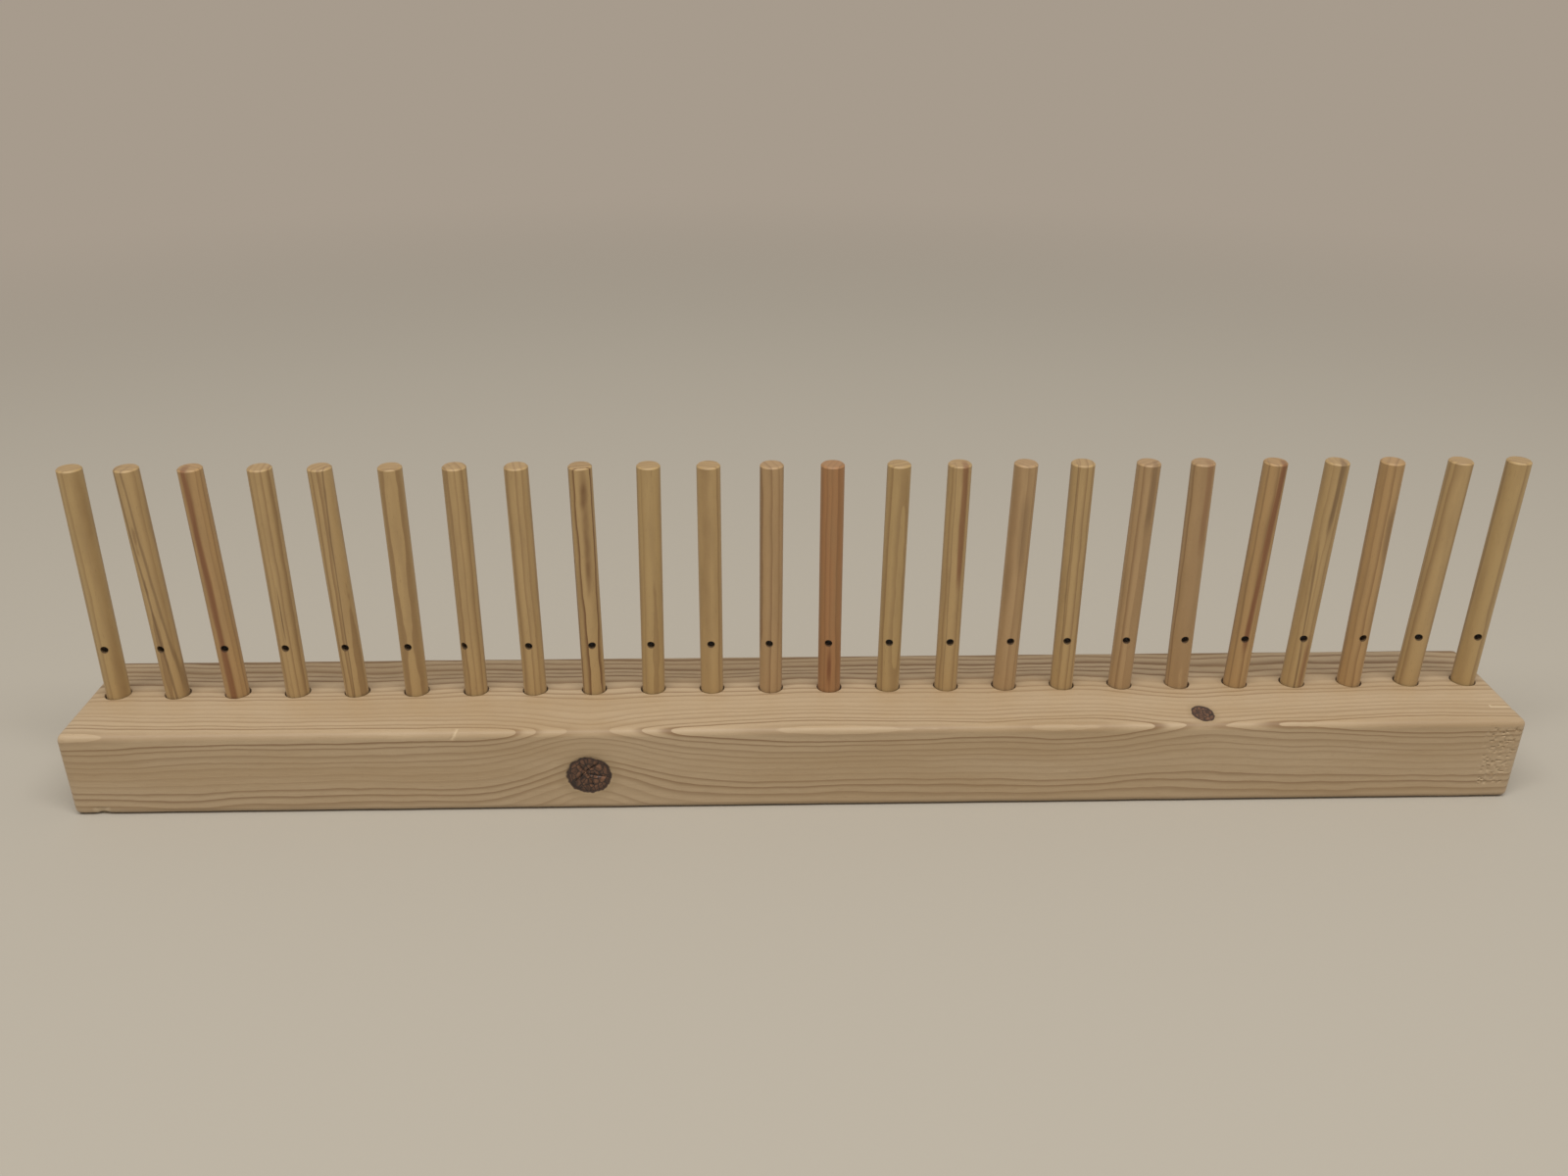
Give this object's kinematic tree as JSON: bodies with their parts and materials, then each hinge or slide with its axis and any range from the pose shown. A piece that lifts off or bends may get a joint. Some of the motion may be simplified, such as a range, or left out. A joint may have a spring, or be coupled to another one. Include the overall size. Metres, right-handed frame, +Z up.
{
  "type": "peg loom",
  "caption": "Wooden beam with a row of loose round pegs in blind sockets, each peg with an eye for a warp thread, for weaving rugs and scarves.",
  "frame": {"origin": "middle of the beam's underside", "axes": "+X along the beam, from peg_01 to peg_24; +Y from the front to the back; +Z up"},
  "size_m": [0.597, 0.063, 0.1393],
  "materials": {
    "planed_pine": "planed and sanded, bare",
    "pine_dowel": "sanded dowel, bare"
  },
  "bodies": {
    "beam": {"beam": "planed_pine"},
    "peg_01": {"peg_01": "pine_dowel"},
    "peg_02": {"peg_02": "pine_dowel"},
    "peg_03": {"peg_03": "pine_dowel"},
    "peg_04": {"peg_04": "pine_dowel"},
    "peg_05": {"peg_05": "pine_dowel"},
    "peg_06": {"peg_06": "pine_dowel"},
    "peg_07": {"peg_07": "pine_dowel"},
    "peg_08": {"peg_08": "pine_dowel"},
    "peg_09": {"peg_09": "pine_dowel"},
    "peg_10": {"peg_10": "pine_dowel"},
    "peg_11": {"peg_11": "pine_dowel"},
    "peg_12": {"peg_12": "pine_dowel"},
    "peg_13": {"peg_13": "pine_dowel"},
    "peg_14": {"peg_14": "pine_dowel"},
    "peg_15": {"peg_15": "pine_dowel"},
    "peg_16": {"peg_16": "pine_dowel"},
    "peg_17": {"peg_17": "pine_dowel"},
    "peg_18": {"peg_18": "pine_dowel"},
    "peg_19": {"peg_19": "pine_dowel"},
    "peg_20": {"peg_20": "pine_dowel"},
    "peg_21": {"peg_21": "pine_dowel"},
    "peg_22": {"peg_22": "pine_dowel"},
    "peg_23": {"peg_23": "pine_dowel"},
    "peg_24": {"peg_24": "pine_dowel"}
  },
  "joints": [
    {"name": "peg_01_lift", "type": "slide", "parent": "beam", "child": "peg_01", "axis": [0.02, 0, 0.9998], "range_m": [0, 0.03]},
    {"name": "peg_02_lift", "type": "slide", "parent": "beam", "child": "peg_02", "axis": [-0.008, 0, 1], "range_m": [0, 0.03]},
    {"name": "peg_03_lift", "type": "slide", "parent": "beam", "child": "peg_03", "axis": [-0.012, 0, 0.9999], "range_m": [0, 0.03]},
    {"name": "peg_04_lift", "type": "slide", "parent": "beam", "child": "peg_04", "axis": [0.004, 0, 1], "range_m": [0, 0.03]},
    {"name": "peg_05_lift", "type": "slide", "parent": "beam", "child": "peg_05", "axis": [-0.012, 0, 0.9999], "range_m": [0, 0.03]},
    {"name": "peg_06_lift", "type": "slide", "parent": "beam", "child": "peg_06", "axis": [0.008, 0, 1], "range_m": [0, 0.03]},
    {"name": "peg_07_lift", "type": "slide", "parent": "beam", "child": "peg_07", "axis": [0.008, 0, 1], "range_m": [0, 0.03]},
    {"name": "peg_08_lift", "type": "slide", "parent": "beam", "child": "peg_08", "axis": [0, 0, 1], "range_m": [0, 0.03]},
    {"name": "peg_09_lift", "type": "slide", "parent": "beam", "child": "peg_09", "axis": [0, 0, 1], "range_m": [0, 0.03]},
    {"name": "peg_10_lift", "type": "slide", "parent": "beam", "child": "peg_10", "axis": [0.016, 0, 0.9999], "range_m": [0, 0.03]},
    {"name": "peg_11_lift", "type": "slide", "parent": "beam", "child": "peg_11", "axis": [0.004, 0, 1], "range_m": [0, 0.03]},
    {"name": "peg_12_lift", "type": "slide", "parent": "beam", "child": "peg_12", "axis": [0.004, 0, 1], "range_m": [0, 0.03]},
    {"name": "peg_13_lift", "type": "slide", "parent": "beam", "child": "peg_13", "axis": [-0.004, 0, 1], "range_m": [0, 0.03]},
    {"name": "peg_14_lift", "type": "slide", "parent": "beam", "child": "peg_14", "axis": [0.008, 0, 1], "range_m": [0, 0.03]},
    {"name": "peg_15_lift", "type": "slide", "parent": "beam", "child": "peg_15", "axis": [0, 0, 1], "range_m": [0, 0.03]},
    {"name": "peg_16_lift", "type": "slide", "parent": "beam", "child": "peg_16", "axis": [0.012, 0, 0.9999], "range_m": [0, 0.03]},
    {"name": "peg_17_lift", "type": "slide", "parent": "beam", "child": "peg_17", "axis": [-0.008, 0, 1], "range_m": [0, 0.03]},
    {"name": "peg_18_lift", "type": "slide", "parent": "beam", "child": "peg_18", "axis": [0.004, 0, 1], "range_m": [0, 0.03]},
    {"name": "peg_19_lift", "type": "slide", "parent": "beam", "child": "peg_19", "axis": [-0.024, 0, 0.9997], "range_m": [0, 0.03]},
    {"name": "peg_20_lift", "type": "slide", "parent": "beam", "child": "peg_20", "axis": [0.012, 0, 0.9999], "range_m": [0, 0.03]},
    {"name": "peg_21_lift", "type": "slide", "parent": "beam", "child": "peg_21", "axis": [0.012, 0, 0.9999], "range_m": [0, 0.03]},
    {"name": "peg_22_lift", "type": "slide", "parent": "beam", "child": "peg_22", "axis": [-0.012, 0, 0.9999], "range_m": [0, 0.03]},
    {"name": "peg_23_lift", "type": "slide", "parent": "beam", "child": "peg_23", "axis": [0.012, 0, 0.9999], "range_m": [0, 0.03]},
    {"name": "peg_24_lift", "type": "slide", "parent": "beam", "child": "peg_24", "axis": [0, 0, 1], "range_m": [0, 0.03]}
  ]
}
